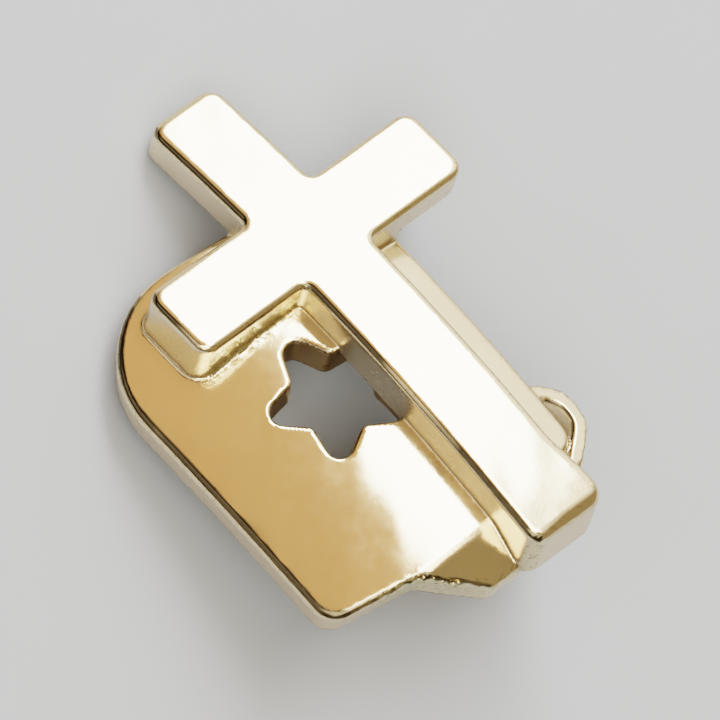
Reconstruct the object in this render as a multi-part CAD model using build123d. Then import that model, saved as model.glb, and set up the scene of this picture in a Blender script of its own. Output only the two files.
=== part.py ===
from build123d import *
from math import atan2, cos, degrees, hypot, pi, radians, sin, sqrt, tan
import os

# Single-tooth cap, cast and soldered into one piece of gold-coloured brass.
# Modelled in the tooth's own frame: x across the tooth, y towards the gum, z out of
# the face, with the middle of the cross at x = y = 0 and the underside of the cross
# there at z = 0. At the end it is turned to the pose in which it lies on a table.
# Millimetres throughout. Plan outlines of the plate are true at z = 0, and those of
# the cup at its rim.

# Curves of the face
BEND_RADIUS = 43.5        # lengthways bend shared by the cross and the front plate
BEND_Y = -2.0             # height on the tooth where that bend is level
CROWN_RADIUS = 17.0       # roundness of the front plate from side to side
CROWN_X = -0.9            # ridge of that roundness

# Latin cross
BAR = 2.33                # width of every bar
CROSS_THICK = 1.10
HEAD = 4.94               # middle of the cross to the end of the head
FOOT = 10.34              # middle of the cross to the end of the foot
ARM_LEFT = 4.75
ARM_RIGHT = 4.63
FOOT_FLARE = 0.32         # the shaft widens to the right by this much at the foot
FOOT_FLARE_LENGTH = 2.04  # over this length
FOOT_FLARE_ROUND = 3.0
FOOT_DEPTH = -1.55        # the foot runs down over the biting edge to this height
TOE_LENGTH = 0.80         # length of the part of the foot that runs down
CROSS_CORNER = 0.48       # outer corners, seen from the front
CROSS_CROTCH = 0.22       # inner corners, seen from the front
CROSS_EDGE = 0.17         # rounding of the face's edges
CROSS_SEAT = 0.25         # how deep the cross is set into the plate

# Front plate and its lip
PLATE_THICK = 0.95
PLATE_LEFT = -6.55
PLATE_RIGHT = 2.51
PLATE_GUM_LEFT = 2.30
PLATE_GUM_RIGHT = 1.20
PLATE_BITE_LEFT = -8.50   # biting edge at the left corner
PLATE_BITE_RIGHT = -8.45  # biting edge right of the shaft
PLATE_BITE_DROP = 0.35    # that edge drops by this much on its way to the shaft
PLATE_LEAN = 9.0          # side walls lean in towards the back, degrees
PLATE_EDGE = 0.20         # rounding of the front edge
NOTCH_X = -3.80           # where the biting edge turns down into the lip
NOTCH_Y = -8.98
LIP_LEFT = -2.15          # left end of the lip's lowest edge
LIP_TUCK = 0.27           # the lip ends under the shaft, this far inside its edge
LIP_Y = -10.32
LIP_FOLD_Y = -8.85        # fold line of the lip
LIP_SLOPE = 31.0          # slope of the lip behind the fold line, degrees
LIP_FOLD_ROUND = 0.60

# Star window
STAR_X = -2.17
STAR_Y = -3.68
STAR_POINTS = 5
STAR_TIP = 2.42           # middle to the tip before it is rounded
STAR_CROTCH = 1.17        # middle to inner corner
STAR_CROTCH_SHAFT = 1.40  # the inner corner under the shaft is cut deeper
STAR_TIP_ROUND = 0.42
STAR_CROTCH_ROUND = 0.20
STAR_LEAN = 5.0           # window narrows towards the back, degrees
STAR_EDGE = 0.10          # rounding of its front edge

# Clasp cup round the biting edge, with the tongue behind the tooth
CUP_LEFT = -3.35
CUP_NECK = 2.10           # right side of the cup and tongue, towards the gum
CUP_BITE_Y = -10.05
CUP_TOE_X = 0.75          # where the biting edge turns up towards the ear
CUP_LEAN = 13.0           # walls lean in towards the back, degrees
CUP_WALL = 0.42           # side walls
CUP_RIM_Z = -0.62         # free rim right of the front plate
CUP_SHY = 0.05            # the cup stays this far below the plate's front surface
EAR_RIGHT = 3.20          # the ear is the part of the cup right of the plate
EAR_LOW_Y = -8.12
EAR_HIGH_Y = -7.00
EAR_DIP_Y = -6.15         # where the ear's gum side meets the neck
TONGUE_TOP_Y = -5.10      # end of the tongue, towards the gum
TONGUE_THICK = 0.70
TONGUE_LOW_Y = -9.10      # foot of the tongue's slope
TONGUE_LOW_Z = -3.45      # back of the tongue there
TONGUE_SLOPE = 15.0       # the tongue leans away from the face, degrees
HEEL_SLOPE = 54.0         # slope of the cup from its back up to the biting edge

# Construction solids that are cut back later
REACH = FOOT + HEAD       # wider than anything in the part
PLATE_DEEP = 6.0          # below the lowest point of the plate and lip
STAR_DEEP = 2.5           # below the back of the plate at the star
CUP_DEEP = 4.8            # below the back of the tongue
JOIN = 0.30               # how far joined pieces run into each other


def bend_z(y):
    """Height of the lengthways bend at y."""
    return sqrt(BEND_RADIUS**2 - (y - BEND_Y) ** 2) - BEND_RADIUS


def crown_z(x, y):
    """Height of the plate's doubly curved front surface."""
    ring = BEND_RADIUS + sqrt(CROWN_RADIUS**2 - (x - CROWN_X) ** 2) - CROWN_RADIUS
    return sqrt(ring**2 - (y - BEND_Y) ** 2) - BEND_RADIUS


def lip_z(x, y):
    """Height of the lip's sloping front surface."""
    return bend_z(LIP_FOLD_Y) + (y - LIP_FOLD_Y) * tan(radians(LIP_SLOPE))


def runs_on(edge, height):
    """True where an edge runs on the surface whose height is given as a function."""
    spots = [edge.position_at(t) for t in (0.1, 0.5, 0.9)]
    return all(abs(p.Z - height(p.X, p.Y)) < 0.03 for p in spots)


def outline(points):
    """Closed sketch from (x, y, corner radius) points."""
    face = make_face(Polyline([(x, y) for x, y, _ in points], close=True))
    for x, y, radius in points:
        if radius:
            corner = face.vertices().sort_by_distance((x, y, 0))[0]
            face = fillet(corner, radius)
    return face


def prism(sketch, low, high, lean=0.0):
    """Sketch raised from z = low to z = high; lean narrows it towards the back."""
    if not lean:
        return extrude(Pos(0, 0, low) * sketch, high - low)
    return extrude(Pos(0, 0, high) * sketch, -(high - low), taper=lean)


def bend_body(lift):
    """Everything under the lengthways bend raised by lift, wide enough for the cross."""
    barrel = Cylinder(BEND_RADIUS + lift, 2 * REACH, rotation=(0, 90, 0))
    return Pos(0, BEND_Y, -BEND_RADIUS) * barrel


def crown_body(lift):
    """The metal under the plate's doubly curved surface raised by lift."""
    arc_plane = Plane(origin=(CROWN_X, BEND_Y, 0), x_dir=(1, 0, 0), z_dir=(0, -1, 0))
    disc = Pos(0, -CROWN_RADIUS) * Circle(CROWN_RADIUS + lift)
    width, depth = 1.5 * (PLATE_RIGHT - PLATE_LEFT), 3 * PLATE_DEEP
    profile = arc_plane * (disc & (Pos(0, -PLATE_DEEP) * Rectangle(width, depth)))
    return revolve(profile, Axis((0, BEND_Y, -BEND_RADIUS), (1, 0, 0)), 360)


def lip_body(lift):
    """Everything under the sloping lip plane raised by lift, square to the lip."""
    fold = Pos(0, LIP_FOLD_Y, bend_z(LIP_FOLD_Y)) * Rot(LIP_SLOPE, 0, 0)
    return fold * Pos(0, 0, lift - REACH) * Box(4 * REACH, 4 * REACH, 2 * REACH)


def front_body(lift):
    """Everything under the front surface of the plate and lip, raised by lift."""
    return crown_body(lift) & lip_body(lift)


def cross_sketch():
    half = BAR / 2
    corner, crotch = CROSS_CORNER, CROSS_CROTCH
    return outline([
        (-half, HEAD, corner), (half, HEAD, corner), (half, half, crotch),
        (ARM_RIGHT, half, corner), (ARM_RIGHT, -half, corner), (half, -half, crotch),
        (half, FOOT_FLARE_LENGTH - FOOT, FOOT_FLARE_ROUND), (half + FOOT_FLARE, -FOOT, corner),
        (-half, -FOOT, corner), (-half, -half, crotch),
        (-ARM_LEFT, -half, corner), (-ARM_LEFT, half, corner), (-half, half, crotch),
    ])


def plate_sketch():
    lip_right = BAR / 2 - LIP_TUCK
    return outline([
        (PLATE_LEFT, PLATE_GUM_LEFT, 3.0), (PLATE_RIGHT, PLATE_GUM_RIGHT, 1.2),
        (PLATE_RIGHT, PLATE_BITE_RIGHT, 0.8), (lip_right, PLATE_BITE_RIGHT - PLATE_BITE_DROP, 0),
        (lip_right, LIP_Y, 0), (LIP_LEFT, LIP_Y, 0.75), (NOTCH_X, NOTCH_Y, 0.4),
        (PLATE_LEFT, PLATE_BITE_LEFT, 1.0),
    ])


def star_sketch():
    points = []
    for step in range(2 * STAR_POINTS):
        reach, soft = ((STAR_TIP, STAR_TIP_ROUND), (STAR_CROTCH, STAR_CROTCH_ROUND))[step % 2]
        turn = pi / 2 - step * pi / STAR_POINTS
        if step == 3:
            reach = STAR_CROTCH_SHAFT
        points.append((STAR_X + reach * cos(turn), STAR_Y + reach * sin(turn), soft))
    return outline(points)


def cup_sketch():
    """Plan of the outside of the cup and tongue."""
    return outline([
        (CUP_LEFT, TONGUE_TOP_Y, 0.5), (CUP_LEFT, CUP_BITE_Y, 2.4), (CUP_TOE_X, CUP_BITE_Y, 0.6),
        (EAR_RIGHT, EAR_LOW_Y, 0.85), (EAR_RIGHT, EAR_HIGH_Y, 0.75), (CUP_NECK, EAR_DIP_Y, 0.5),
        (CUP_NECK, TONGUE_TOP_Y, 0.5),
    ])


def pocket_sketch():
    """Plan of the space for the tooth, one wall inside the cup and open to the gum."""
    left, bite = CUP_LEFT + CUP_WALL, CUP_BITE_Y + CUP_WALL
    right, neck = EAR_RIGHT - CUP_WALL, CUP_NECK - CUP_WALL
    low_turn = atan2(EAR_LOW_Y - CUP_BITE_Y, EAR_RIGHT - CUP_TOE_X)
    high_turn = atan2(EAR_DIP_Y - EAR_HIGH_Y, EAR_RIGHT - CUP_NECK)
    toe = CUP_TOE_X - CUP_WALL * tan(low_turn / 2)
    low = EAR_LOW_Y + CUP_WALL * tan((pi / 2 - low_turn) / 2)
    shift = CUP_WALL * tan((pi / 2 - high_turn) / 2)
    mouth = TONGUE_TOP_Y + PLATE_DEEP
    return outline([
        (left, mouth, 0), (left, bite, 2.0), (toe, bite, 0.4), (right, low, 0.6),
        (right, EAR_HIGH_Y - shift, 0.6), (neck, EAR_DIP_Y - shift, 0.6), (neck, mouth, 0),
    ])


def cup_profile(inset):
    """Body between the tongue's back and the plate, swept across the tooth."""
    low_z = TONGUE_LOW_Z + inset
    gum, bite = TONGUE_TOP_Y + PLATE_DEEP, CUP_BITE_Y - JOIN
    gum_z = low_z - (gum - TONGUE_LOW_Y) * tan(radians(TONGUE_SLOPE))
    bite_z = low_z + (TONGUE_LOW_Y - bite) * tan(radians(HEEL_SLOPE))
    side = Plane(origin=(-REACH, 0, 0), x_dir=(0, 1, 0), z_dir=(1, 0, 0))
    section = make_face(Polyline([
        (bite, CROSS_THICK), (gum, CROSS_THICK), (gum, gum_z), (TONGUE_LOW_Y, low_z), (bite, bite_z),
    ], close=True))
    return extrude(side * section, 2 * REACH)


def make_cross():
    """Cross slab bent along its length, with soft face edges."""
    slab = (prism(cross_sketch(), -PLATE_DEEP, PLATE_DEEP) & bend_body(CROSS_THICK)) - bend_body(0)
    face = slab.faces().sort_by(Axis.Z)[-1]
    return fillet(face.edges(), CROSS_EDGE)


def make_seat():
    """Metal that joins the underside of the cross to the curved plate, and the foot's toe."""
    seat = prism(cross_sketch(), -PLATE_DEEP, JOIN) & prism(plate_sketch(), -PLATE_DEEP, JOIN, PLATE_LEAN)
    seat = (seat & bend_body(JOIN)) - front_body(-CROSS_SEAT)
    toe = Pos(0, -FOOT, 0) * Box(2 * REACH, 2 * TOE_LENGTH, 2 * REACH)
    return seat + (prism(cross_sketch(), FOOT_DEPTH, bend_z(-FOOT) + JOIN) & toe)


def make_plate():
    """Front plate with its lip and the star window, front edges rounded."""
    front = front_body(0)
    fold = [e for e in front.edges() if runs_on(e, crown_z) and runs_on(e, lip_z)]
    front = fillet(fold, LIP_FOLD_ROUND)
    plate = (prism(plate_sketch(), -PLATE_DEEP, 0, PLATE_LEAN) & front) - front_body(-PLATE_THICK)
    plate -= prism(star_sketch(), -STAR_DEEP, JOIN, STAR_LEAN)
    plate = fillet([e for e in outer_edges(plate) if not at_star(e)], PLATE_EDGE)
    return fillet([e for e in outer_edges(plate) if at_star(e)], STAR_EDGE)


def outer_edges(plate):
    """Edges where the plate's front surface ends."""
    edges = [e for e in plate.edges() if runs_on(e, lambda x, y: min(crown_z(x, y), lip_z(x, y)))]
    sides = [f for f in plate.faces() if abs(f.normal_at(f.center()).Z) < 0.5]
    return [e for e in edges if any(e.is_same(other) for f in sides for other in f.edges())]


def at_star(edge):
    middle = edge.center()
    return hypot(middle.X - STAR_X, middle.Y - STAR_Y) < STAR_TIP


def make_cup():
    """Cup with its tongue, open towards the gum, with a free rim on the right."""
    outer = prism(cup_sketch(), -CUP_DEEP, CUP_RIM_Z, CUP_LEAN) & cup_profile(0)
    inner = prism(pocket_sketch(), -CUP_DEEP, CUP_RIM_Z, CUP_LEAN) & cup_profile(TONGUE_THICK)
    return (outer & front_body(-CUP_SHY)) - inner


def lie_down(cap):
    """Turns the cap to lie on the end of its tongue and the end of the cross's head."""
    lean, slope = tan(radians(CUP_LEAN)), tan(radians(TONGUE_SLOPE))
    tongue_y = TONGUE_TOP_Y + lean * (TONGUE_LOW_Z - CUP_RIM_Z + TONGUE_LOW_Y * slope)
    tongue_y /= 1 + lean * slope
    tongue_z = TONGUE_LOW_Z - (tongue_y - TONGUE_LOW_Y) * slope
    pitch = degrees(atan2(bend_z(HEAD) - tongue_z, HEAD - tongue_y))
    cap = Rot(-pitch, 0, 0) * cap
    box = cap.bounding_box()
    return Pos(-box.center().X, -box.center().Y, -box.min.Z) * cap


if __name__ == "__main__":
    os.makedirs("parts", exist_ok=True)
    tooth_cap = make_cross() + make_seat() + make_plate() + make_cup()
    export_step(lie_down(tooth_cap), "parts/tooth_cap.step")
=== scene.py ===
"""Looks of a single-tooth grill cap: a polished cast body, its solder seam and a plain studio."""

from math import atan2, cos, pi, radians, sin, sqrt, tan

import bpy
import numpy as np
from mathutils import Matrix, Vector


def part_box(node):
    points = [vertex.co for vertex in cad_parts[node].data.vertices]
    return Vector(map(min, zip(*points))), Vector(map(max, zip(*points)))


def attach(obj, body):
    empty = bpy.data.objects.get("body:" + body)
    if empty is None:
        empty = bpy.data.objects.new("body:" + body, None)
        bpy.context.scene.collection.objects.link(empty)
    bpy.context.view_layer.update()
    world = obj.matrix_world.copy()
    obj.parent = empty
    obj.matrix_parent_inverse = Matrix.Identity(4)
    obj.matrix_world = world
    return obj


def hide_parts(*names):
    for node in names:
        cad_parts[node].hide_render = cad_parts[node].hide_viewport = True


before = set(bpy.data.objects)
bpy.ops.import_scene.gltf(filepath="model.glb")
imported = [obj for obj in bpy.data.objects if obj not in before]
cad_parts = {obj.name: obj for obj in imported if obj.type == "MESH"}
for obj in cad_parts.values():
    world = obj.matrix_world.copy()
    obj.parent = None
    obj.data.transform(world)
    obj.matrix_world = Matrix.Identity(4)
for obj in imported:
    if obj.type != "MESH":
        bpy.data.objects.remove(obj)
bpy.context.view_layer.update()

bl_info = {
    "name": "Single-tooth cap",
    "version": (1, 0, 0),
    "blender": (4, 5, 0),
    "location": "3D View > Sidebar > Tooth cap",
    "description": "Builds a polished tooth cap with a star window and a raised cross",
    "category": "Object",
}

MM = 0.001

# The tooth's own frame, in millimetres: x across the tooth, y towards the gum, z out of the
# face. The middle of the cross is at x = y = 0, and z = 0 where its underside is highest.

# Curves of the face
BEND_RADIUS = 43.5
BEND_Y = -2.0
CROWN_RADIUS = 17.0
CROWN_X = -0.9

# Latin cross
HEAD = 4.94
FOOT = 10.34
ARM_LEFT = 4.75
ARM_RIGHT = 4.63
FOOT_FLARE = 0.32
FOOT_FLARE_LENGTH = 2.04
FOOT_FLARE_ROUND = 3.0
FOOT_DEPTH = -1.55
TOE_LENGTH = 0.80
CROSS_CORNER = 0.48
CROSS_CROTCH = 0.22
CROSS_SEAT = 0.25
CROSS_THICK = 1.10
CROSS_EDGE = 0.17
JOIN = 0.30

# Front plate and its lip
PLATE_LEFT = -6.55
PLATE_RIGHT = 2.51
PLATE_GUM_LEFT = 2.30
PLATE_GUM_RIGHT = 1.20
PLATE_BITE_LEFT = -8.50
PLATE_BITE_RIGHT = -8.45
PLATE_BITE_DROP = 0.35
PLATE_LEAN = 9.0
GUM_LEFT_ROUND = 3.0
GUM_RIGHT_ROUND = 1.2
BITE_LEFT_ROUND = 1.0
BITE_RIGHT_ROUND = 0.8
NOTCH_X = -3.80
NOTCH_Y = -8.98
NOTCH_ROUND = 0.4
LIP_LEFT = -2.15
LIP_TUCK = 0.27
LIP_Y = -10.32
LIP_ROUND = 0.75
LIP_FOLD_Y = -8.85
LIP_SLOPE = 31.0
LIP_FOLD_ROUND = 0.06

# Star window
STAR_X = -2.17
STAR_Y = -3.68
STAR_POINTS = 5
STAR_TIP = 2.42
STAR_CROTCH = 1.17
STAR_CROTCH_SHAFT = 1.40
SHAFT_CORNER = 3          # the crotch under the shaft, counted clockwise from the top tip
STAR_TIP_ROUND = 0.42
STAR_CROTCH_ROUND = 0.20
STAR_LEAN = 5.0

# Clasp cup, its ear and the tongue
CUP_LEFT = -3.35
CUP_NECK = 2.10
CUP_BITE_Y = -10.05
CUP_TOE_X = 0.75
CUP_LEAN = 13.0
CUP_RIM_Z = -0.62
CUP_SHY = 0.05
CUP_TOP_ROUND = 0.5
CUP_BITE_ROUND = 2.4
CUP_TOE_ROUND = 0.6
EAR_RIGHT = 3.20
EAR_LOW_Y = -8.12
EAR_HIGH_Y = -7.00
EAR_DIP_Y = -6.15
EAR_LOW_ROUND = 0.85
EAR_HIGH_ROUND = 0.75
EAR_DIP_ROUND = 0.5
TONGUE_TOP_Y = -5.10
TONGUE_THICK = 0.70
TONGUE_LOW_Y = -9.10
TONGUE_LOW_Z = -3.45
TONGUE_SLOPE = 15.0
HEEL_SLOPE = 54.0
POCKET_OPEN = 6.0         # the pocket's plan runs on this far past the tongue's end
POCKET_BITE_ROUND = 2.0
POCKET_TOE_ROUND = 0.4
POCKET_EAR_ROUND = 0.6

# Roundings and gentle waves that casting and polishing leave
PLATE_BACK_EDGE = 0.12
CROSS_UNDER_EDGE = 0.10
FOOT_WEAR = 0.12          # extra rounding of the foot's outer end
FOOT_WEAR_START = 1.0     # it starts this far above the foot's end
FOOT_WEAR_FADE = 0.9      # length over which it grows, down the foot and across to its middle
TOE_EDGE = 0.05
TOE_UNDER_EDGE = 0.15
RIM_EDGE = 0.13
HEEL_EDGE = 0.30
POCKET_EDGE = 0.15
CUP_BACK_EDGE = 0.10
CUP_FILLET = 0.12         # where the cup meets the plate's back
CUP_FILLET_DEPTH = 0.24   # it starts this deep under the plate's front
CUP_FILLET_FADE = 0.3
WAVE_LENGTH = 1.7
WAVE_SEED = 11

# Solder fillet, larger under the left arm of the cross
BLOB_ASIDE = 0.15         # it is largest this far below the arm's side
BLOB_WIDTH = 0.5
BLOB_SHAFT_FADE = 0.5
BLOB_PAST_END = 0.1
BLOB_END_FADE = 0.6
BLOB_EVEN = 0.62
BLOB_UNEVEN = 0.38
BLOB_LENGTH = 0.9
BLOB_SEED = 4

# Lumps where solder has run, under the left arm and along the lip's rim
ARM_CRUST_ASIDE = 0.06
ARM_CRUST_WIDTH = 0.13
ARM_CRUST_SHAFT_FADE = 0.3
ARM_CRUST_END_FADE = 0.4
LIP_CRUST = 2.0           # times as high as under the arm
LIP_CRUST_WIDTH = 0.20
LIP_CRUST_Y = -7.9
LIP_CRUST_FADE_Y = 0.6
LIP_CRUST_LEFT = -5.2
LIP_CRUST_RIGHT = -0.6
LIP_CRUST_FADE_X = 0.8
CRUST_TOP_Z = 0.75
CRUST_FADE_Z = 0.2
CRUST_LENGTH = 0.34
CRUST_SEED = 7

# Solder beads, on a line under the left arm and on one along the lip's rim
ARM_BEAD_LINE = ((-3.5, 0.40), (-2.9, 0.55))   # x and z of its ends
ARM_BEAD_SHARE = 0.8      # of the size that the user sets
ARM_BEAD_STRAY = 0.00005  # metres that a bead may stray each way from its line
ARM_BEAD_SEED = 3
LIP_BEAD_START = (-0.2, 0.33)                  # x and y, from the notch
LIP_BEAD_RUN = (1.2, -0.9)
LIP_BEAD_POINTS = 8
LIP_BEAD_SHARE = 0.7
LIP_BEAD_STRAY = 0.00007
LIP_BEAD_SEED = 8
BEAD_STRAYS = (1, 1, 0.3)                      # beads stray less up and down
BEAD_SMALLEST = 0.35      # of the largest bead on its line
BEAD_SUBDIVISIONS = 3

# Grids on which the shape is worked out, and how its points settle
SPARE = 0.3               # room around the cap
BELOW_TONGUE = 1.2        # room under TONGUE_LOW_Z, below which the tongue slopes on
PLAN_STEP = 0.02
ARC_STEP = 9              # degrees between the points of an arc
ARC_STEPS = 3             # on an arc, at the least
SAME_POINT = 1e-12        # squared length of a side that counts as none
RIPPLE_WAVES = 7
RIPPLE_SPREAD = (0.6, 1.6)                     # waves to a length, for the longest and the shortest
RIPPLE_SCALE = 3.2
SETTLE_ROUNDS = 3
SETTLE_STEP = 0.01
SETTLE_REACH = 0.05       # about the furthest that a point moves in a round
SETTLE_LEAST = 0.2        # least squared slope that a move is worked out with

# Marks that tell the finish where the surface changes
MARKS = ("crust", "edge", "left", "hollow", "seam", "wall", "window", "inner")
CURVING_STEP = 0.08
FACING_STEP = 0.02
SHARP = 8                 # curving, to a millimetre, of a full edge or corner
SEAM_WIDTH = 0.25
WALL_STARTS = 0.45        # how upright a face is, from 0 to 1, when it starts to count as a wall
WALL_FADE = 0.35
WINDOW_REACH = 0.05
WINDOW_DEPTH = 0.12
INNER_REACH = 0.04
INNER_DEPTH = 0.1

# Mottling of the metal and the floor: cells to a metre, detail and roughness
CLOUD = (260, 3, 0.5)
GRAIN = (2600, 4, 0.6)
PITS = (9000, 2, 0.5)
PAPER = (300, 4, 0.5)

# Finish of the metal: where each part of it starts and is full, and how strongly it shows
SPECKS = (0.56, 0.66)
CLOUDED = (0.35, 0.75)
CLOUDED_GOLD = 0.9
RUBBED_EVEN = 0.35
RUBBED_CLOUDED = 0.65
RUBBED_SPECKED = 0.8
# Painted dark reflection: a broken dark line on the rounded edges that face left, where polished edges
# would mirror something dark
PAINTED_REFLECTION_FACING = ((0.24, 0.34), (0.74, 0.88))
PAINTED_REFLECTION_EDGE = (0.1, 0.35)
PAINTED_REFLECTION_BREAKS = (0.26, 0.44)
FILM = {"hollow": 0.2, "seam": 0.3, "edge": 0.5, "crust": 0.6, "window": 0.75}
FILM_OFF_INNER = 0.8
# The last cover is the painted dark reflection on the edges that face left
COVER = {"side": 0.75, "inside": 0.8, "rubbed": 0.3, "solder": 0.5, "painted_dark_reflection": 0.9}
ROUGH = {"grain": 0.10, "wall": 0.10, "wall_cloud": 0.12, "film": 0.18, "inner": 0.35}
MIDDLE_GREY = 0.5
PITTED = {"inner": 1.6, "seam": 1.1, "wall": 0.5, "edge": 0.4, "crust": 2.0}
PITTED_ALL = 0.03
RELIEF = {"grain": 0.18, "cloud": 0.2}
BUMP_STRENGTH = 0.25
BUMP_DISTANCE = 0.00003   # metres
INNER_DULL = 0.6
PAPER_DARKER = 0.97
PAPER_ROUGHNESS = 0.75

# Camera, fitted to the photograph: directions in the tooth's frame
TO_CAMERA = (-0.4407, -0.2636, 0.8581)
CAMERA_UP = (0.5265, 0.6984, 0.4849)
CAMERA_RIGHT = (0.7271, -0.6654, 0.1690)
CAMERA_DISTANCE = 554.4   # millimetres, along the view from the middle of the cross
CAMERA_SHIFT_RIGHT = 1.5107
CAMERA_SHIFT_UP = -2.8767
CAMERA_LENS = 1064.4      # millimetres, on a 36 mm sensor
SENSOR = 36.0
CLIP_NEAR = 0.01          # metres
CLIP_FAR = 10

FLOOR_SIZE = 0.6          # metres
STAGE_DROP = 0.00002      # the floor lies this far under what the CAD stands on

# Studio walls, as light by direction: x to the right of the cross, y to its head, z up.
# Each range is where one wall fades into the next. LEFT_SIDE, LEFT_TURN, GAP_ACROSS and
# HOOD_ACROSS count to the left instead.
TAN_RISE = (0.10, 0.75)
TAN_LOW = (0.40, 0.31, 0.22)
TAN_HIGH = (0.76, 0.51, 0.31)
PALE_SIDE = (0.25, 0.60)
PALE_RISE = (0.10, 0.60)
PALE_LOW = (0.95, 0.92, 0.86)
PALE_HIGH = (1.50, 1.56, 1.58)
LEFT_SIDE = (0.38, 0.46)
LEFT_TURN = (0.6, 0.8)
LEFT_NEAR = (1.08, 1.05, 1.02)
LEFT_FAR = (0.85, 0.78, 0.68)
GAP_ACROSS = ((0.18, 0.22), (0.41, 0.47))
GAP_ALONG = (0.22, 0.34)
GAP_COLOUR = (0.22, 0.18, 0.12)
DIM_ALONG = (-0.35, 0.10)
DIM_COLOUR = (0.33, 0.28, 0.19)
SKIRT_RISE = (0.12, 0.30)
SKIRT_ACROSS = (-0.1, 0.4)
SKIRT_COLOUR = (0.02, 0.018, 0.015)
HOOD_ACROSS = ((-0.36, -0.24), (0.62, 0.80))
HOOD_RISE = (0.3, 0.5)
HOOD_FRONT = (-0.65, -0.45)
HOOD_BACK = (0.04, 0.20)
HOOD_CUT_ACROSS = (-0.25, -0.05)
HOOD_CUT_ALONG = (-0.20, -0.08)
HOOD_COLOUR = (4.4, 4.3, 4.1)

# Places of sockets whose names are not unique
MIX_A, MIX_B, MIX_COLOUR = 6, 7, 2
VECTOR_MIN, VECTOR_MAX, NUMBER_MIN, NUMBER_MAX = range(4)
RANDOM_NUMBER = 1


class CapSizes(bpy.types.PropertyGroup):
    """Sizes of the cap that a user may change."""

    bar: bpy.props.FloatProperty(
        name="Bar width", description="Width of each bar of the cross",
        default=0.00233, min=0.0005, unit="LENGTH", precision=5)
    cross_thick: bpy.props.FloatProperty(
        name="Cross thickness", description="Thickness of the cross slab",
        default=0.00110, min=0.0003, unit="LENGTH", precision=5)
    plate_thick: bpy.props.FloatProperty(
        name="Plate thickness", description="Thickness of the front plate",
        default=0.00095, min=0.0003, unit="LENGTH", precision=5)
    cup_wall: bpy.props.FloatProperty(
        name="Cup wall", description="Thickness of the cup's side walls",
        default=0.00042, min=0.0002, unit="LENGTH", precision=5)
    cross_edge: bpy.props.FloatProperty(
        name="Cross edge", description="Rounding of the edges of the cross's face",
        default=0.00021, min=0.00005, unit="LENGTH", precision=5)
    plate_edge: bpy.props.FloatProperty(
        name="Plate edge", description="Rounding of the plate's front edge",
        default=0.00020, min=0.00005, unit="LENGTH", precision=5)
    star_edge: bpy.props.FloatProperty(
        name="Star edge", description="Rounding of the star window's front edge",
        default=0.00008, min=0.00005, unit="LENGTH", precision=5)
    solder: bpy.props.FloatProperty(
        name="Solder fillet", description="Fillet where the cross meets the plate",
        default=0.00006, min=0.00002, unit="LENGTH", precision=5)
    solder_blob: bpy.props.FloatProperty(
        name="Solder blob", description="Extra fillet under the left arm of the cross",
        default=0.00016, min=0.0, unit="LENGTH", precision=5)
    crust: bpy.props.FloatProperty(
        name="Solder lumps", description="Usual height of the lumps of solder under the left arm",
        default=0.000018, min=0.0, unit="LENGTH", precision=6)
    bead: bpy.props.FloatProperty(
        name="Solder bead", description="Radius from which the beads of both runs are sized",
        default=0.000062, min=0.00001, unit="LENGTH", precision=6)
    arm_beads: bpy.props.IntProperty(
        name="Beads under the arm", description="Number of solder beads under the left arm",
        default=4, min=2)
    lip_beads: bpy.props.IntProperty(
        name="Beads on the lip", description="Number of solder beads along the lip's rim",
        default=7, min=2)
    waviness: bpy.props.FloatProperty(
        name="Waviness", description="Usual height of the gentle waves that hand polishing leaves",
        default=0.000004, min=0.0, unit="LENGTH", precision=6)
    spacing: bpy.props.FloatProperty(
        name="Mesh spacing", description="Step of the grid from which the body's mesh is made",
        default=0.000075, min=0.00004, unit="LENGTH", precision=6)


class CapFinish(bpy.types.PropertyGroup):
    """Colours and gloss of the cap and its stage."""

    gold: bpy.props.FloatVectorProperty(
        name="Plating", description="Colour of the polished plating",
        default=(0.86, 0.68, 0.42), subtype="COLOR", size=3, min=0.0, max=1.0)
    tarnish: bpy.props.FloatVectorProperty(
        name="Tarnish", description="Colour of the dull film in the corners and the star window",
        default=(0.30, 0.19, 0.08), subtype="COLOR", size=3, min=0.0, max=1.0)
    # Colour of the painted dark reflection along the rounded edges that face left
    painted_dark_reflection: bpy.props.FloatVectorProperty(
        name="Painted dark reflection", description="Colour of the broken dark line along the left-hand edges",
        default=(0.05, 0.04, 0.022), subtype="COLOR", size=3, min=0.0, max=1.0)
    side: bpy.props.FloatVectorProperty(
        name="Side walls", description="Paler colour of the satin side walls",
        default=(0.76, 0.67, 0.53), subtype="COLOR", size=3, min=0.0, max=1.0)
    solder: bpy.props.FloatVectorProperty(
        name="Solder", description="Greenish colour of the solder where it has run",
        default=(0.66, 0.64, 0.40), subtype="COLOR", size=3, min=0.0, max=1.0)
    inside: bpy.props.FloatVectorProperty(
        name="Cast inside", description="Duller colour of the unpolished inside",
        default=(0.78, 0.72, 0.58), subtype="COLOR", size=3, min=0.0, max=1.0)
    rubbed: bpy.props.FloatVectorProperty(
        name="Rubbed edge", description="Paler colour where the edges are rubbed",
        default=(0.93, 0.82, 0.60), subtype="COLOR", size=3, min=0.0, max=1.0)
    gloss: bpy.props.FloatProperty(
        name="Roughness", description="Roughness of the polished faces",
        default=0.13, min=0.0, max=1.0, subtype="FACTOR")
    floor: bpy.props.FloatVectorProperty(
        name="Floor", description="Colour of the plain floor",
        default=(0.40, 0.413, 0.43), subtype="COLOR", size=3, min=0.0, max=1.0)


def turned(points, angle):
    """Points or a direction of the tooth's frame, pitched about x to the pose on the floor."""
    x, y, z = np.asarray(points, float).T
    return np.stack([x, y * cos(angle) + z * sin(angle), z * cos(angle) - y * sin(angle)], axis=-1)


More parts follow.
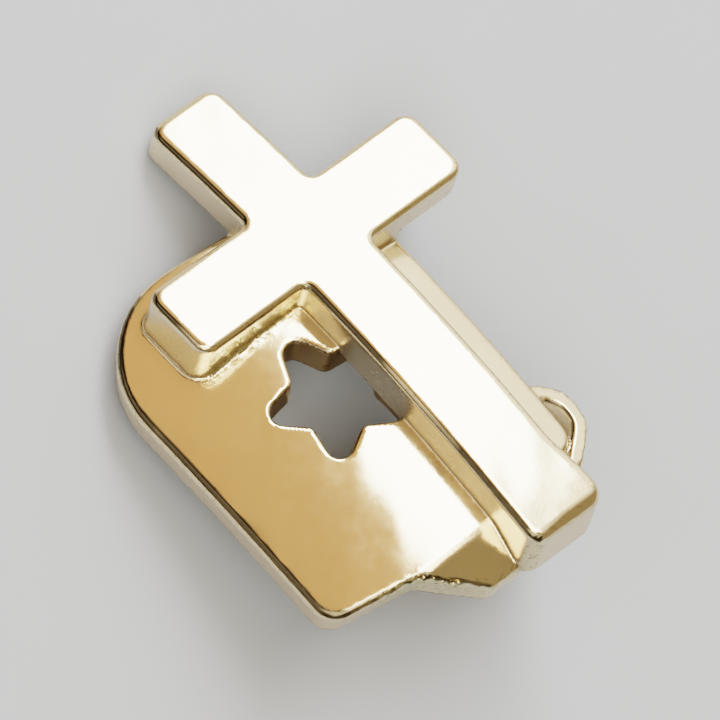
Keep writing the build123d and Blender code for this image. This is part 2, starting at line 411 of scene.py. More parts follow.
def lying_pitch():
    """Radians by which the cap tips to lie on its tongue and the head of the cross, and how
    high the tongue's end is then."""
    lean, slope = tan(radians(CUP_LEAN)), tan(radians(TONGUE_SLOPE))
    tongue_y = TONGUE_TOP_Y + lean * (TONGUE_LOW_Z - CUP_RIM_Z + TONGUE_LOW_Y * slope)
    tongue_y /= 1 + lean * slope
    tongue_z = TONGUE_LOW_Z - (tongue_y - TONGUE_LOW_Y) * slope
    head_z = sqrt(BEND_RADIUS**2 - (HEAD - BEND_Y) ** 2) - BEND_RADIUS
    pitch = atan2(head_z - tongue_z, HEAD - tongue_y)
    return pitch, turned((0, tongue_y, tongue_z), pitch)[2]


def to_row(points):
    """Points of the tooth's frame in metres of the row's frame."""
    pitch, lowest = lying_pitch()
    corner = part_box("tooth_cap")[1]
    face = BEND_RADIUS + CROSS_THICK
    head = (0, HEAD, sqrt(face**2 - (HEAD - BEND_Y) ** 2) - BEND_RADIUS - CROSS_EDGE)
    shift = (corner[0] / MM - ARM_RIGHT, corner[1] / MM - turned(head, pitch)[1], -lowest)
    return (turned(points, pitch) + shift) * MM


def rounded(points):
    """Closed line, as an array, through (x, y, corner radius) points with their arcs."""
    line = []
    count = len(points)
    for i, (x, y, radius) in enumerate(points):
        here = np.array((x, y))
        back = np.array(points[i - 1][:2]) - here
        on = np.array(points[(i + 1) % count][:2]) - here
        if not radius:
            line.append(here)
            continue
        back, on = back / np.hypot(*back), on / np.hypot(*on)
        half = np.arccos(np.clip(back @ on, -1, 1)) / 2
        reach = radius / tan(half)
        middle = here + (back + on) / np.hypot(*(back + on)) * radius / sin(half)
        start, end = here + back * reach - middle, here + on * reach - middle
        first, last = atan2(start[1], start[0]), atan2(end[1], end[0])
        sweep = (last - first + pi) % (2 * pi) - pi
        steps = max(ARC_STEPS, round(abs(sweep) / radians(ARC_STEP)))
        for k in range(steps + 1):
            a = first + sweep * k / steps
            line.append(middle + radius * np.array((cos(a), sin(a))))
    return np.array(line)


def plan_distance(x, y, line):
    """Signed distance in the plan from a closed line, negative inside it."""
    nearest = np.full(x.shape, np.inf)
    inside = np.zeros(x.shape, bool)
    for (ax, ay), (bx, by) in zip(line, np.roll(line, -1, axis=0)):
        ex, ey = bx - ax, by - ay
        length = ex * ex + ey * ey
        if length < SAME_POINT:
            continue
        wx, wy = x - ax, y - ay
        t = np.clip((wx * ex + wy * ey) / length, 0, 1)
        nearest = np.minimum(nearest, (wx - ex * t) ** 2 + (wy - ey * t) ** 2)
        if ey:
            inside ^= ((ay > y) != (by > y)) & (wx < ex * wy / ey)
    return np.where(inside, -1, 1) * np.sqrt(nearest)


class PlanTable:
    """Plan distances of a few closed lines, worked out on a fine grid and read between its points."""

    def __init__(self, lines, low, high):
        self.names, self.low, self.step = list(lines), low, PLAN_STEP
        x, y = (np.arange(a, b + self.step, self.step) for a, b in zip(low, high))
        x, y = np.meshgrid(x, y, indexing="ij")
        self.values = np.stack([plan_distance(x, y, line) for line in lines.values()], axis=-1)

    def __call__(self, x, y):
        u, v = ((along - start) / self.step for along, start in zip((x, y), self.low))
        i = np.clip(u.astype(int), 0, self.values.shape[0] - 2)
        j = np.clip(v.astype(int), 0, self.values.shape[1] - 2)
        u, v = (u - i)[..., None], (v - j)[..., None]
        near = self.values[i, j] * (1 - v) + self.values[i, j + 1] * v
        far = self.values[i + 1, j] * (1 - v) + self.values[i + 1, j + 1] * v
        both = near * (1 - u) + far * u
        return {name: both[..., k] for k, name in enumerate(self.names)}


def meet(a, b, soft):
    """What lies in both a and b, with the edge between them rounded to the radius soft."""
    corner = np.hypot(np.maximum(a + soft, 0), np.maximum(b + soft, 0))
    return np.minimum(np.maximum(a, b), -soft) + corner


def join(a, b, soft):
    """What lies in a or b, with a fillet of the radius soft between them."""
    return -meet(-a, -b, soft)


def leaning(plan, z, top, lean):
    """Side wall true to its plan at z = top, leaning in below by so many degrees."""
    return (plan + (top - z) * tan(radians(lean))) * cos(radians(lean))


def rising(distance, fade):
    """0 up to where distance is 0, then rising to 1 over the length fade."""
    return np.clip(distance / fade, 0, 1)


def swelling(distance, width):
    """1 where distance is 0, dying away on both sides of it."""
    return np.exp(-((distance / width) ** 2))


def close_to(distance, reach):
    """1 up to half the reach and 0 past one and a half of it."""
    return np.clip(1.5 - distance / reach, 0, 1)


def ripple(x, y, z, length, seed):
    """Smooth noise, nearly all of it between -1.5 and 1.5, made of a few crossed waves."""
    random = np.random.default_rng(seed)
    total = 0
    for _ in range(RIPPLE_WAVES):
        way = random.normal(size=3)
        way *= random.uniform(*RIPPLE_SPREAD) * 2 * pi / length / np.linalg.norm(way)
        total = total + np.sin(x * way[0] + y * way[1] + z * way[2] + random.uniform(0, 2 * pi))
    return total / RIPPLE_SCALE


def crown_z(x, y):
    """Height of the plate's doubly curved front surface."""
    ring = BEND_RADIUS + np.sqrt(CROWN_RADIUS**2 - (x - CROWN_X) ** 2) - CROWN_RADIUS
    return np.sqrt(ring**2 - (y - BEND_Y) ** 2) - BEND_RADIUS


def face_z(x, y):
    """Height of the front surface of the plate, and of the lip past its fold."""
    lip = crown_z(x, LIP_FOLD_Y) + (y - LIP_FOLD_Y) * tan(radians(LIP_SLOPE))
    return np.minimum(crown_z(x, y), lip)


class CapForm:
    """The cap as signed distances, in millimetres of the tooth's frame."""

    def __init__(self, sizes):
        self.bar = sizes.bar / MM
        self.cross_thick = sizes.cross_thick / MM
        self.plate_thick = sizes.plate_thick / MM
        self.cup_wall = sizes.cup_wall / MM
        self.cross_edge = sizes.cross_edge / MM
        self.plate_edge = sizes.plate_edge / MM
        self.star_edge = sizes.star_edge / MM
        self.solder = sizes.solder / MM
        self.solder_blob = sizes.solder_blob / MM
        self.waviness = sizes.waviness / MM
        self.crust_height = sizes.crust / MM
        outlines = {
            "cross": self.cross_plan(), "plate": self.plate_plan(), "star": self.star_plan(),
            "cup": self.cup_plan(), "pocket": self.pocket_plan(),
        }
        lines = {name: rounded(points) for name, points in outlines.items()}
        self.low = (PLATE_LEFT - SPARE, -FOOT - SPARE, TONGUE_LOW_Z - BELOW_TONGUE)
        self.high = (ARM_RIGHT + SPARE, HEAD + SPARE, self.cross_thick + SPARE)
        self.plans = PlanTable(lines, self.low[:2], self.high[:2])

    def cross_plan(self):
        half, corner, crotch = self.bar / 2, CROSS_CORNER, CROSS_CROTCH
        return [
            (-half, HEAD, corner), (half, HEAD, corner), (half, half, crotch),
            (ARM_RIGHT, half, corner), (ARM_RIGHT, -half, corner), (half, -half, crotch),
            (half, FOOT_FLARE_LENGTH - FOOT, FOOT_FLARE_ROUND), (half + FOOT_FLARE, -FOOT, corner),
            (-half, -FOOT, corner), (-half, -half, crotch),
            (-ARM_LEFT, -half, corner), (-ARM_LEFT, half, corner), (-half, half, crotch),
        ]

    def plate_plan(self):
        lip_right = self.bar / 2 - LIP_TUCK
        return [
            (PLATE_LEFT, PLATE_GUM_LEFT, GUM_LEFT_ROUND), (PLATE_RIGHT, PLATE_GUM_RIGHT, GUM_RIGHT_ROUND),
            (PLATE_RIGHT, PLATE_BITE_RIGHT, BITE_RIGHT_ROUND),
            (lip_right, PLATE_BITE_RIGHT - PLATE_BITE_DROP, 0), (lip_right, LIP_Y, 0),
            (LIP_LEFT, LIP_Y, LIP_ROUND), (NOTCH_X, NOTCH_Y, NOTCH_ROUND),
            (PLATE_LEFT, PLATE_BITE_LEFT, BITE_LEFT_ROUND),
        ]

    def star_plan(self):
        points = []
        for step in range(2 * STAR_POINTS):
            reach, soft = ((STAR_TIP, STAR_TIP_ROUND), (STAR_CROTCH, STAR_CROTCH_ROUND))[step % 2]
            if step == SHAFT_CORNER:
                reach = STAR_CROTCH_SHAFT
            turn = pi / 2 - step * pi / STAR_POINTS
            points.append((STAR_X + reach * cos(turn), STAR_Y + reach * sin(turn), soft))
        return points

    def cup_plan(self):
        return [
            (CUP_LEFT, TONGUE_TOP_Y, CUP_TOP_ROUND), (CUP_LEFT, CUP_BITE_Y, CUP_BITE_ROUND),
            (CUP_TOE_X, CUP_BITE_Y, CUP_TOE_ROUND), (EAR_RIGHT, EAR_LOW_Y, EAR_LOW_ROUND),
            (EAR_RIGHT, EAR_HIGH_Y, EAR_HIGH_ROUND), (CUP_NECK, EAR_DIP_Y, EAR_DIP_ROUND),
            (CUP_NECK, TONGUE_TOP_Y, CUP_TOP_ROUND),
        ]

    def pocket_plan(self):
        wall = self.cup_wall
        left, bite = CUP_LEFT + wall, CUP_BITE_Y + wall
        right, neck = EAR_RIGHT - wall, CUP_NECK - wall
        low_turn = atan2(EAR_LOW_Y - CUP_BITE_Y, EAR_RIGHT - CUP_TOE_X)
        high_turn = atan2(EAR_DIP_Y - EAR_HIGH_Y, EAR_RIGHT - CUP_NECK)
        toe = CUP_TOE_X - wall * tan(low_turn / 2)
        low = EAR_LOW_Y + wall * tan((pi / 2 - low_turn) / 2)
        shift = wall * tan((pi / 2 - high_turn) / 2)
        mouth = TONGUE_TOP_Y + POCKET_OPEN
        return [
            (left, mouth, 0), (left, bite, POCKET_BITE_ROUND), (toe, bite, POCKET_TOE_ROUND),
            (right, low, POCKET_EAR_ROUND), (right, EAR_HIGH_Y - shift, POCKET_EAR_ROUND),
            (neck, EAR_DIP_Y - shift, POCKET_EAR_ROUND), (neck, mouth, 0),
        ]

    def front(self, x, y, z):
        """Height above the front surface of the plate and lip, their fold rounded."""
        ring = np.hypot(y - BEND_Y, z + BEND_RADIUS)
        crown = np.hypot(x - CROWN_X, ring - (BEND_RADIUS - CROWN_RADIUS)) - CROWN_RADIUS
        fold_z = crown_z(x, LIP_FOLD_Y)
        slope = radians(LIP_SLOPE)
        lip = (z - fold_z) * cos(slope) - (y - LIP_FOLD_Y) * sin(slope)
        return meet(crown, lip, LIP_FOLD_ROUND)

    def plate(self, x, y, z, plans):
        top = self.front(x, y, z)
        side = leaning(plans["plate"], z, 0, PLATE_LEAN)
        plate = meet(side, top, self.plate_edge)
        plate = meet(plate, -(top + self.plate_thick), PLATE_BACK_EDGE)
        return meet(plate, -leaning(plans["star"], z, JOIN, STAR_LEAN), self.star_edge)

    def cross(self, x, y, z, plans):
        bend = np.hypot(y - BEND_Y, z + BEND_RADIUS) - BEND_RADIUS
        plan = plans["cross"]
        worn = rising(-FOOT + FOOT_WEAR_START - y, FOOT_WEAR_FADE)
        worn = worn * rising(x + FOOT_WEAR_FADE, FOOT_WEAR_FADE)
        edge = self.cross_edge + FOOT_WEAR * worn
        slab = meet(meet(plan, bend - self.cross_thick, edge), -bend, CROSS_UNDER_EDGE)
        seat = np.maximum(plan, leaning(plans["plate"], z, 0, PLATE_LEAN))
        seat = np.maximum(np.maximum(seat, bend - JOIN), -(self.front(x, y, z) + CROSS_SEAT))
        toe = meet(meet(plan, y + FOOT - TOE_LENGTH, TOE_EDGE), FOOT_DEPTH - z, TOE_UNDER_EDGE)
        toe = np.maximum(toe, bend - JOIN)
        return np.minimum(np.minimum(slab, seat), toe)

    def profile(self, y, z, inset):
        """Above the tongue's back and the sloping heel, both raised by inset."""
        tongue, heel = radians(TONGUE_SLOPE), radians(HEEL_SLOPE)
        rise = z - TONGUE_LOW_Z - inset
        tongue_side = -(rise + (y - TONGUE_LOW_Y) * tan(tongue)) * cos(tongue)
        heel_side = -(rise - (TONGUE_LOW_Y - y) * tan(heel)) * cos(heel)
        return meet(tongue_side, heel_side, HEEL_EDGE)

    def pocket(self, y, z, plans):
        wall = leaning(plans["pocket"], z, CUP_RIM_Z, CUP_LEAN)
        return meet(wall, self.profile(y, z, TONGUE_THICK), POCKET_EDGE)

    def cup(self, x, y, z, plans):
        outer = meet(leaning(plans["cup"], z, CUP_RIM_Z, CUP_LEAN), z - CUP_RIM_Z, RIM_EDGE)
        outer = meet(outer, self.profile(y, z, 0), CUP_BACK_EDGE)
        outer = np.maximum(outer, self.front(x, y, z) + CUP_SHY)
        return meet(outer, -self.pocket(y, z, plans), RIM_EDGE)

    def seam_reach(self, x, y):
        """Fillet radius between cross and plate, larger and uneven under the left arm."""
        along = rising(-self.bar / 2 - x, BLOB_SHAFT_FADE)
        along = along * rising(x + ARM_LEFT + BLOB_PAST_END, BLOB_END_FADE)
        beside = swelling(y + self.bar / 2 + BLOB_ASIDE, BLOB_WIDTH)
        uneven = BLOB_EVEN + BLOB_UNEVEN * ripple(x, y, 0, BLOB_LENGTH, BLOB_SEED)
        return self.solder + self.solder_blob * along * beside * uneven

    def crust(self, x, y, plans):
        """Where solder has run and set unevenly: along the lip's rim and under the left arm."""
        rim = LIP_CRUST * swelling(plans["plate"], LIP_CRUST_WIDTH)
        rim = rim * rising(LIP_CRUST_Y - y, LIP_CRUST_FADE_Y)
        rim = rim * rising(x - LIP_CRUST_LEFT, LIP_CRUST_FADE_X)
        rim = rim * rising(LIP_CRUST_RIGHT - x, LIP_CRUST_FADE_X)
        beside = swelling(y + self.bar / 2 + ARM_CRUST_ASIDE, ARM_CRUST_WIDTH)
        along = rising(-self.bar / 2 - x, ARM_CRUST_SHAFT_FADE)
        along = along * rising(x + ARM_LEFT, ARM_CRUST_END_FADE)
        return np.maximum(rim, beside * along)

    def crust_at(self, x, y, z, plans):
        """The crust, kept off what stands higher than the plate."""
        return self.crust(x, y, plans) * rising(CRUST_TOP_Z - z, CRUST_FADE_Z)

    def __call__(self, x, y, z, plans=None):
        plans = plans or self.plans(x, y)
        body = join(self.plate(x, y, z, plans), self.cross(x, y, z, plans), self.seam_reach(x, y))
        behind = rising(-self.front(x, y, z) - CUP_FILLET_DEPTH, CUP_FILLET_FADE)
        body = join(body, self.cup(x, y, z, plans), CUP_FILLET * behind)
        lumps = self.crust_at(x, y, z, plans) * ripple(x, y, z, CRUST_LENGTH, CRUST_SEED)
        waves = ripple(x, y, z, WAVE_LENGTH, WAVE_SEED)
        return body + self.crust_height * lumps + self.waviness * waves


def net(form, step):
    """Points and four-sided faces of the surface where form is zero, found on a grid."""
    axes = [np.arange(a, b + step, step) for a, b in zip(form.low, form.high)]
    gx, gy, gz = np.meshgrid(*axes, indexing="ij", sparse=True)
    x2, y2 = np.broadcast_arrays(gx[:, :, 0], gy[:, :, 0])
    plans = {name: plan[:, :, None] for name, plan in form.plans(x2, y2).items()}
    value = form(gx, gy, gz, plans)
    solid = value < 0
    shape = np.array(value.shape) - 1
    total, count = np.zeros((shape.prod(), 3)), np.zeros(shape.prod())
    faces = []
    for a in range(3):
        b, c = (a + 1) % 3, (a + 2) % 3
        near = [slice(None)] * 3
        far = [slice(None)] * 3
        near[a], far[a] = slice(None, -1), slice(1, None)
        start, end = value[tuple(near)], value[tuple(far)]
        at = np.argwhere(solid[tuple(near)] != solid[tuple(far)])
        v0, v1 = start[tuple(at.T)], end[tuple(at.T)]
        where = at.astype(float)
        where[:, a] += v0 / (v0 - v1)
        ring = []
        for ob, oc in ((0, 0), (1, 0), (1, 1), (0, 1)):
            cell = at.copy()
            cell[:, b] -= ob
            cell[:, c] -= oc
            index = np.ravel_multi_index(cell.T, shape)
            np.add.at(total, index, where)
            np.add.at(count, index, 1)
            ring.append(index)
        quad = np.stack(ring, axis=1)
        faces.append(np.where((v0 < 0)[:, None], quad, quad[:, ::-1]))
    faces = np.concatenate(faces)
    used, faces = np.unique(faces, return_inverse=True)
    points = total[used] / count[used][:, None] * step + np.array(form.low)
    return points, faces.reshape(-1, 4)


def slope_of(form, points, step):
    """Value and gradient of form at the points, and how sharply it curves outwards there."""
    middle = form(*points.T)
    gradient, around = np.zeros_like(points), 0
    for a in range(3):
        offset = np.zeros(3)
        offset[a] = step
        ahead, behind = form(*(points + offset).T), form(*(points - offset).T)
        gradient[:, a] = (ahead - behind) / (2 * step)
        around = around + ahead + behind
    return middle, gradient, (around - 6 * middle) / step**2


def settle(form, points):
    """Moves the points onto the surface along its gradient."""
    for _ in range(SETTLE_ROUNDS):
        value, gradient, _ = slope_of(form, points, SETTLE_STEP)
        steep = np.maximum((gradient**2).sum(axis=1), SETTLE_LEAST)
        points = points - gradient * np.clip(value / steep, -SETTLE_REACH, SETTLE_REACH)[:, None]
    return points


def surface_marks(form, points):
    """Where the finish changes: 0 to 1 at each point, and up to 2 for the crust on the lip."""
    _, _, curving = slope_of(form, points, CURVING_STEP)
    _, slope, _ = slope_of(form, points, FACING_STEP)
    facing = slope / np.linalg.norm(slope, axis=1)[:, None]
    x, y, z = points.T
    plans = form.plans(x, y)
    depth = -form.front(x, y, z)
    seam = np.abs(form.plate(x, y, z, plans)) + np.abs(form.cross(x, y, z, plans))
    window = np.abs(leaning(plans["star"], z, JOIN, STAR_LEAN))
    inside = np.minimum(np.abs(form.pocket(y, z, plans)), np.abs(depth - form.plate_thick))
    marks = (
        form.crust_at(x, y, z, plans),
        rising(curving, SHARP),
        # How far the surface faces left; it places the painted dark reflection
        np.clip(-facing[:, 0], 0, 1),
        rising(-curving, SHARP),
        swelling(seam, SEAM_WIDTH),
        rising(1 - np.abs(facing[:, 2]) - WALL_STARTS, WALL_FADE),
        close_to(window, WINDOW_REACH) * rising(depth, WINDOW_DEPTH),
        close_to(inside, INNER_REACH) * rising(depth - INNER_DEPTH, INNER_DEPTH),
    )
    return dict(zip(MARKS, marks))


def add_object(name, data):
    made = bpy.data.objects.new(name, data)
    bpy.context.scene.collection.objects.link(made)
    return made


def build_body(sizes, finish):
    """The whole metal body, in place of the CAD node."""
    form = CapForm(sizes)
    points, faces = net(form, sizes.spacing / MM)
    points = settle(form, points)
    mesh = bpy.data.meshes.new("tooth_cap_body")
    mesh.from_pydata(to_row(points).tolist(), [], faces.tolist())
    mesh.validate()
    mesh.shade_smooth()
    for name, values in surface_marks(form, points).items():
        attribute = mesh.attributes.new(name, "FLOAT", "POINT")
        attribute.data.foreach_set("value", np.asarray(values, np.float32))
    mesh.materials.append(gold_material(finish))
    piece = add_object("tooth_cap_body", mesh)
    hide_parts("tooth_cap")
    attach(piece, "root")


def add_node(tree, kind, sockets, **settings):
    """Adds any node with its settings, and then the values or links of its sockets."""
    node = tree.nodes.new(kind)
    for name, value in settings.items():
        setattr(node, name, value)
    for name, value in sockets.items():
        if isinstance(value, bpy.types.NodeSocket):
            tree.links.new(value, node.inputs[name])
        else:
            node.inputs[name].default_value = value
    return node


def bead_tree(material):
    """Geometry Nodes: beads of mixed size set along a line."""
    tree = bpy.data.node_groups.new("solder_beads", "GeometryNodeTree")
    face = tree.interface
    face.new_socket("Geometry", in_out="INPUT", socket_type="NodeSocketGeometry")
    face.new_socket("Geometry", in_out="OUTPUT", socket_type="NodeSocketGeometry")
    for name, kind in (("Count", "Int"), ("Radius", "Float"), ("Stray", "Float"), ("Seed", "Int")):
        face.new_socket(name, in_out="INPUT", socket_type="NodeSocket" + kind)

    def add(kind, sockets, out=0, **settings):
        return add_node(tree, kind, sockets, **settings).outputs[out]

    given = tree.nodes.new("NodeGroupInput").outputs
    curve = add("GeometryNodeMeshToCurve", {"Mesh": given["Geometry"]})
    points = add("GeometryNodeResampleCurve", {"Curve": curve, "Count": given["Count"]})
    limits = {VECTOR_MIN: [-most for most in BEAD_STRAYS], VECTOR_MAX: BEAD_STRAYS}
    aside = add("FunctionNodeRandomValue", {**limits, "Seed": given["Seed"]}, data_type="FLOAT_VECTOR")
    offset = add("ShaderNodeVectorMath", {0: aside, "Scale": given["Stray"]}, operation="SCALE")
    moved = add("GeometryNodeSetPosition", {"Geometry": points, "Offset": offset})
    ball = add("GeometryNodeMeshIcoSphere", {"Radius": given["Radius"], "Subdivisions": BEAD_SUBDIVISIONS})
    size = add(
        "FunctionNodeRandomValue", {NUMBER_MIN: BEAD_SMALLEST, NUMBER_MAX: 1, "Seed": given["Seed"]},
        out=RANDOM_NUMBER, data_type="FLOAT")
    placed = add("GeometryNodeInstanceOnPoints", {"Points": moved, "Instance": ball, "Scale": size})
    real = add("GeometryNodeRealizeInstances", {"Geometry": placed})
    smooth = add("GeometryNodeSetShadeSmooth", {"Geometry": real})
    dressed = add("GeometryNodeSetMaterial", {"Geometry": smooth, "Material": material})
    tree.links.new(dressed, tree.nodes.new("NodeGroupOutput").inputs[0])
    return tree


def add_beads(name, line, tree, inputs):
    """Beads of solder along a line of points given in the tooth's frame."""
    mesh = bpy.data.meshes.new(name + "_line")
    mesh.from_pydata(to_row(line).tolist(), [(i, i + 1) for i in range(len(line) - 1)], [])
    holder = add_object(name + "_line", mesh)
    nodes = holder.modifiers.new("beads", "NODES")
    nodes.node_group = tree
    for item in tree.interface.items_tree:
        if item.name in inputs:
            nodes[item.identifier] = inputs[item.name]
    seen = holder.evaluated_get(bpy.context.evaluated_depsgraph_get())
    made = bpy.data.meshes.new_from_object(seen)
    made.name = name
    bpy.data.objects.remove(holder)
    piece = add_object(name, made)
    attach(piece, "root")


def build_beads(sizes):
    """Beads that solder left under the left arm of the cross and along the lip's rim."""
    tree = bead_tree(bpy.data.materials["polished_gold"])
    arm = [(x, -sizes.bar / MM / 2, z) for x, z in ARM_BEAD_LINE]
    share = np.linspace(0, 1, LIP_BEAD_POINTS)
    x = NOTCH_X + LIP_BEAD_START[0] + share * LIP_BEAD_RUN[0]
    y = NOTCH_Y + LIP_BEAD_START[1] + share * LIP_BEAD_RUN[1]
    lip = np.stack([x, y, face_z(x, y)], axis=1)
    add_beads("solder_under_arm", arm, tree, {
        "Count": sizes.arm_beads, "Radius": sizes.bead * ARM_BEAD_SHARE,
        "Stray": ARM_BEAD_STRAY, "Seed": ARM_BEAD_SEED})
    add_beads("solder_on_lip", lip, tree, {
        "Count": sizes.lip_beads, "Radius": sizes.bead * LIP_BEAD_SHARE,
        "Stray": LIP_BEAD_STRAY, "Seed": LIP_BEAD_SEED})


class Wire:
    """A socket of a shader tree that takes part in sums as a number does."""

    def __init__(self, tree, socket=None):
        self.tree, self.socket = tree, socket

    def node(self, kind, sockets, out=0, **settings):
        """The output out of a new node, whose sockets take values or wires."""
        plain = {
            name: value.socket if isinstance(value, Wire) else value
            for name, value in sockets.items()}
        return Wire(self.tree, add_node(self.tree, kind, plain, **settings).outputs[out])

    def sum_of(self, operation, a, b, clamp=False):
        return self.node("ShaderNodeMath", {0: a, 1: b}, operation=operation, use_clamp=clamp)

    def __add__(self, other):
        return self.sum_of("ADD", self, other)

    def __radd__(self, other):
        return self.sum_of("ADD", other, self)

    def __sub__(self, other):
        return self.sum_of("SUBTRACT", self, other)

    def __rsub__(self, other):
        return self.sum_of("SUBTRACT", other, self)

    def __mul__(self, other):
        return self.sum_of("MULTIPLY", self, other)

    def __rmul__(self, other):
        return self.sum_of("MULTIPLY", other, self)

    def clamped(self):
        return self.sum_of("ADD", self, 0.0, clamp=True)

    def spread(self, low, high):
        """0 at low and 1 at high, clamped."""
        return self.sum_of("MULTIPLY", self - low, 1 / (high - low), clamp=True)

    def band(self, rise, fall):
        """1 between the ranges rise and fall, and 0 outside them."""
        return self.spread(*rise) * (1 - self.spread(*fall))

    def colour(self, low, high):
        """Colour low where this is 0, turning to colour high where it is 1."""
        low, high = (end if isinstance(end, Wire) else (*end, 1) for end in (low, high))
        sockets = {"Factor": self, MIX_A: low, MIX_B: high}
        return self.node("ShaderNodeMix", sockets, out=MIX_COLOUR, data_type="RGBA")

    def noise(self, scale, detail, roughness):
        """Mottling laid out on these coordinates."""
        sockets = {"Vector": self, "Scale": scale, "Detail": detail, "Roughness": roughness}
        return self.node("ShaderNodeTexNoise", sockets)

    def feeds(self, shader, name):
        self.tree.links.new(self.socket, shader.inputs[name])


def new_material(name):
    """A material, its shader and its Object coordinates."""
    material = bpy.data.materials.new(name)
    material.use_nodes = True
    tree = material.node_tree
    where = Wire(tree).node("ShaderNodeTexCoord", {}, out="Object")
    return material, tree.nodes["Principled BSDF"], where


def gold_material(finish):
    """Polished plating with satin side walls, rubbed edges, dull corners, a cast inside and a painted dark
    reflection along the edges that face left.
    """
    material, shader, where = new_material("polished_gold")
    marks = {
        name: where.node("ShaderNodeAttribute", {}, out="Fac", attribute_name=name) for name in MARKS}
    crust, edge, left, hollow, seam, wall, window, inner = marks.values()
    cloud, grain, pits = where.noise(*CLOUD), where.noise(*GRAIN), where.noise(*PITS)
    specks = pits.spread(*SPECKS)

    rubbed = edge * (RUBBED_EVEN + cloud * RUBBED_CLOUDED) * (1 - specks * RUBBED_SPECKED)
    rubbed = rubbed.clamped()
    stains = seam * cloud * FILM["seam"] + edge * specks * FILM["edge"] + crust * specks * FILM["crust"]
    film = (hollow * FILM["hollow"] + stains) * (1 - inner * FILM_OFF_INNER)
    film = (film + window * FILM["window"]).clamped()
    # Painted dark reflection: a broken dark line on the rounded edges that face left, kept off the walls
    painted_dark_reflection = left.band(*PAINTED_REFLECTION_FACING) * edge.spread(*PAINTED_REFLECTION_EDGE)
    painted_dark_reflection = painted_dark_reflection * cloud.spread(*PAINTED_REFLECTION_BREAKS) * (1 - wall)

    base = cloud.spread(*CLOUDED).colour(finish.gold, [part * CLOUDED_GOLD for part in finish.gold])
    for cover, colour in (
            (wall * COVER["side"], finish.side), (inner * COVER["inside"], finish.inside),
            (rubbed * COVER["rubbed"], finish.rubbed), ((crust * COVER["solder"]).clamped(), finish.solder),
            (film, finish.tarnish), (painted_dark_reflection * COVER["painted_dark_reflection"], finish.painted_dark_reflection)):
        base = cover.colour(base, colour)
    rough = finish.gloss + (grain - MIDDLE_GREY) * ROUGH["grain"]
    rough = rough + wall * (ROUGH["wall"] + cloud * ROUGH["wall_cloud"])
    rough = rough + film * ROUGH["film"] + inner * ROUGH["inner"]
    first, *others = (marks[name] * share for name, share in PITTED.items())
    pitted = sum(others, first) + PITTED_ALL
    height = grain * RELIEF["grain"] + cloud * RELIEF["cloud"] + pits * pitted
    bump = where.node("ShaderNodeBump", {
        "Strength": BUMP_STRENGTH, "Distance": BUMP_DISTANCE, "Height": height})

    base.feeds(shader, "Base Color")
    (1 - inner * INNER_DULL).feeds(shader, "Metallic")
    rough.clamped().feeds(shader, "Roughness")
    bump.feeds(shader, "Normal")
    return material


def floor_material(finish):
    """Smooth matt paper with the faintest mottling."""
    material, shader, where = new_material("pale_floor")
    darker = [part * PAPER_DARKER for part in finish.floor]
    where.noise(*PAPER).colour(finish.floor, darker).feeds(shader, "Base Color")
    shader.inputs["Roughness"].default_value = PAPER_ROUGHNESS
    return material


def add_camera():
    pitch, _ = lying_pitch()
    toward, up, right = (np.array(way) for way in (TO_CAMERA, CAMERA_UP, CAMERA_RIGHT))
    spot = to_row(toward * CAMERA_DISTANCE + right * CAMERA_SHIFT_RIGHT + up * CAMERA_SHIFT_UP)
    data = bpy.data.cameras.new("camera")
    data.lens, data.sensor_width = CAMERA_LENS, SENSOR
    data.clip_start, data.clip_end = CLIP_NEAR, CLIP_FAR
    camera = add_object("camera", data)
    turn = Matrix(turned((right, up, toward), pitch)).transposed().to_4x4()
    camera.matrix_world = Matrix.Translation(spot) @ turn
    bpy.context.scene.camera = camera


def add_panel(name, edge, elevation, width, height, distance, power, colour):
    """Soft rectangular light whose one long side stands in the upright plane at azimuth edge.
    Angles are degrees as seen from the origin, distance is metres and power is watts."""
    turn, rise = radians(edge), radians(elevation)
    plane = Vector((sin(turn), -cos(turn), 0))
    along = Vector((cos(turn) * cos(rise), sin(turn) * cos(rise), sin(rise)))
    half = radians(width / 2)
    middle = (along * cos(half) + plane * sin(half)).normalized()
    tall = plane.cross(middle).normalized()
    wide = tall.cross(middle).normalized()
    data = bpy.data.lights.new(name, "AREA")
    data.shape = "RECTANGLE"
    data.size = 2 * distance * tan(half)
    data.size_y = 2 * distance * tan(radians(height / 2))
    data.energy, data.color = power, colour
    turned_frame = Matrix((wide, wide.cross(middle), middle)).transposed().to_4x4()
    add_object(name, data).matrix_world = Matrix.Translation(middle * distance) @ turned_frame


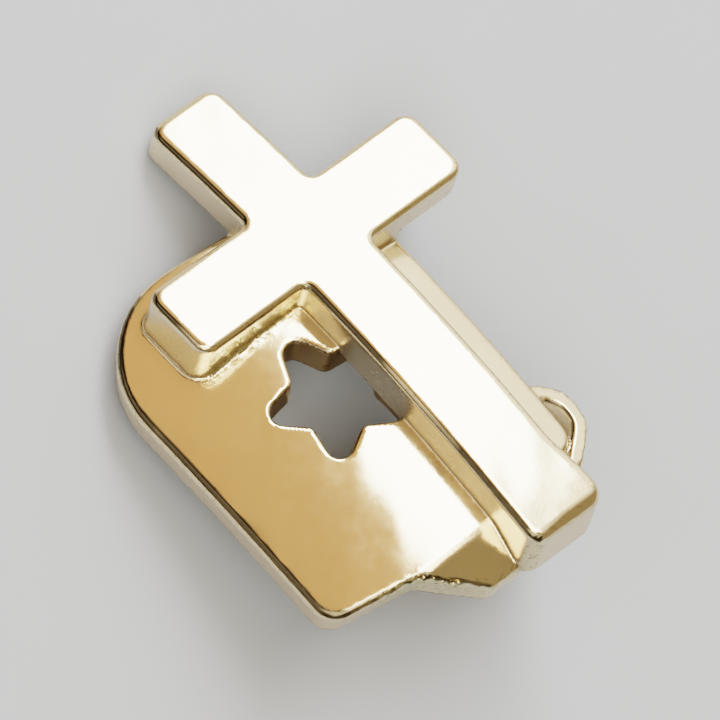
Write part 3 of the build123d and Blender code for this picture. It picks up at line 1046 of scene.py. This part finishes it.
def build_world():
    """Studio walls: tan behind, pale at the sides, dim in front, with a pale hood near the camera."""
    world = bpy.data.worlds.new("studio")
    bpy.context.scene.world = world
    world.use_nodes = True
    back = world.node_tree.nodes["Background"]
    where = Wire(world.node_tree).node("ShaderNodeTexCoord", {}, out="Generated")
    across, along, height = (where.node("ShaderNodeSeparateXYZ", {0: where}, out=axis) for axis in "XYZ")
    left = 0 - across
    tan_wall = height.spread(*TAN_RISE).colour(TAN_LOW, TAN_HIGH)
    pale_wall = height.spread(*PALE_RISE).colour(PALE_LOW, PALE_HIGH)
    left_wall = left.spread(*LEFT_TURN).colour(LEFT_NEAR, LEFT_FAR)
    walls = across.spread(*PALE_SIDE).colour(tan_wall, pale_wall)
    walls = left.spread(*LEFT_SIDE).colour(walls, left_wall)
    gap = left.band(*GAP_ACROSS) * along.spread(*GAP_ALONG)
    walls = gap.colour(walls, GAP_COLOUR)
    walls = (1 - along.spread(*DIM_ALONG)).colour(walls, DIM_COLOUR)
    skirt = (1 - height.spread(*SKIRT_RISE)) * (1 - across.spread(*SKIRT_ACROSS))
    walls = skirt.colour(walls, SKIRT_COLOUR)
    hood = left.band(*HOOD_ACROSS) * height.spread(*HOOD_RISE)
    hood = hood * along.spread(*HOOD_FRONT) * (1 - along.spread(*HOOD_BACK))
    hood = hood * (1 - across.spread(*HOOD_CUT_ACROSS) * (1 - along.spread(*HOOD_CUT_ALONG)))
    hood.colour(walls, HOOD_COLOUR).feeds(back, "Color")
    back.inputs["Strength"].default_value = 1.0


def build_stage(finish):
    mesh = bpy.data.meshes.new("floor")
    half = FLOOR_SIZE / 2
    corners = [(x, y, -STAGE_DROP) for x, y in ((-half, -half), (half, -half), (half, half), (-half, half))]
    mesh.from_pydata(corners, [], [(0, 1, 2, 3)])
    mesh.materials.append(floor_material(finish))
    floor = add_object("floor", mesh)
    build_world()
    add_panel("key_panel", edge=61, elevation=50, width=15.8, height=62,
              distance=0.25, power=0.50, colour=(0.94, 1.0, 1.05))
    add_camera()
    scene = bpy.context.scene
    scene.view_settings.view_transform = "Filmic"
    scene.view_settings.look = "High Contrast"


class CAP_OT_body(bpy.types.Operator):
    """Build the polished body of the tooth cap"""

    bl_idname = "tooth_cap.body"
    bl_label = "Build the body"

    def execute(self, context):
        build_body(context.scene.cap_sizes, context.scene.cap_finish)
        return {"FINISHED"}


class CAP_OT_beads(bpy.types.Operator):
    """Set the beads of solder along the seams"""

    bl_idname = "tooth_cap.beads"
    bl_label = "Set the solder beads"

    def execute(self, context):
        build_beads(context.scene.cap_sizes)
        return {"FINISHED"}


class CAP_OT_stage(bpy.types.Operator):
    """Set up the floor, the lights and the camera"""

    bl_idname = "tooth_cap.stage"
    bl_label = "Set the stage"

    def execute(self, context):
        build_stage(context.scene.cap_finish)
        return {"FINISHED"}


class CAP_PT_panel(bpy.types.Panel):
    """Sizes, finish and build steps of the tooth cap"""

    bl_idname = "CAP_PT_panel"
    bl_label = "Tooth cap"
    bl_space_type = "VIEW_3D"
    bl_region_type = "UI"
    bl_category = "Tooth cap"

    def draw(self, context):
        for group in (context.scene.cap_sizes, context.scene.cap_finish):
            box = self.layout.box()
            for name in group.__annotations__:
                box.prop(group, name)
        for step in STEPS:
            self.layout.operator(step.bl_idname)


STEPS = (CAP_OT_body, CAP_OT_beads, CAP_OT_stage)
CLASSES = (CapSizes, CapFinish, *STEPS, CAP_PT_panel)


def register():
    for each in CLASSES:
        bpy.utils.register_class(each)
    bpy.types.Scene.cap_sizes = bpy.props.PointerProperty(type=CapSizes)
    bpy.types.Scene.cap_finish = bpy.props.PointerProperty(type=CapFinish)


def unregister():
    del bpy.types.Scene.cap_sizes, bpy.types.Scene.cap_finish
    for each in reversed(CLASSES):
        bpy.utils.unregister_class(each)


def main():
    register()
    bpy.ops.tooth_cap.body()
    bpy.ops.tooth_cap.beads()
    bpy.ops.tooth_cap.stage()


if __name__ == "__main__":
    main()
